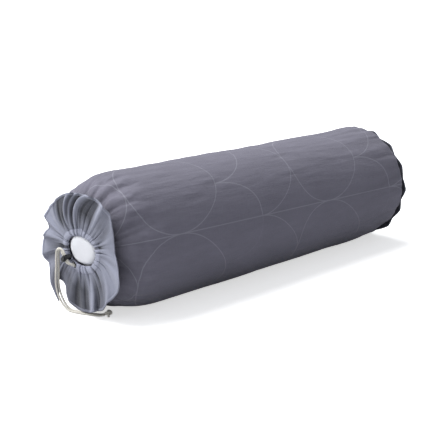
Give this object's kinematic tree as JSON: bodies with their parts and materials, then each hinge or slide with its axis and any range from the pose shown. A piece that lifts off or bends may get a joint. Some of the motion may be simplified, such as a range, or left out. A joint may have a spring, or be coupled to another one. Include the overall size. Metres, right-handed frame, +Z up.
{
  "type": "bolster pillow",
  "caption": "Round bedding bolster in a removable cloth cover, both ends gathered by a drawstring into a frill, with a sliding cord lock.",
  "frame": {"origin": "centre of the underside, on the surface that the bolster rests on, midway between the two frill hems", "axes": "+X along the bolster from its corded end to its other end, +Z up"},
  "size_m": [0.7724, 0.235, 0.231],
  "materials": {
    "cover_cloth": "smooth slate-grey woven cotton with a fine light line pattern",
    "frill_cloth": "plain blue-grey woven cotton",
    "casing_cloth": "plain white cotton ticking",
    "fill": "white polyester fibre",
    "cord_cotton": "twisted cream cotton cord",
    "black_plastic": "glossy black moulded plastic",
    "eyelet_metal": "black-plated pressed metal",
    "spring_steel": "bright spring wire"
  },
  "bodies": {
    "bolster": {"core_fill": "fill", "inner_casing": "casing_cloth", "inner_end_near": "casing_cloth", "inner_end_far": "casing_cloth", "inner_seam_near": "casing_cloth", "inner_seam_far": "casing_cloth", "cover_body": "cover_cloth", "near_channel": "frill_cloth", "near_frill": "frill_cloth", "near_hem": "frill_cloth", "near_drawstring": "cord_cotton", "near_eyelet": "eyelet_metal", "cord_tail_left": "cord_cotton", "cord_tail_right": "cord_cotton", "cord_knot": "cord_cotton", "far_channel": "frill_cloth", "far_frill": "frill_cloth", "far_hem": "frill_cloth", "far_drawstring": "cord_cotton", "far_eyelet": "eyelet_metal"},
    "lock": {"lock_barrel": "black_plastic", "lock_spring": "spring_steel"},
    "button": {"lock_plunger": "black_plastic"}
  },
  "joints": [
    {"name": "lock_slide", "type": "slide", "parent": "bolster", "child": "lock", "axis": [0, 0.6428, 0.766], "range_m": [0, 0.008]},
    {"name": "button_press", "type": "slide", "parent": "lock", "child": "button", "axis": [1, 0, 0], "range_m": [0, 0.002], "stiffness_N_per_m": 400, "deforming": ["lock_spring"]}
  ]
}
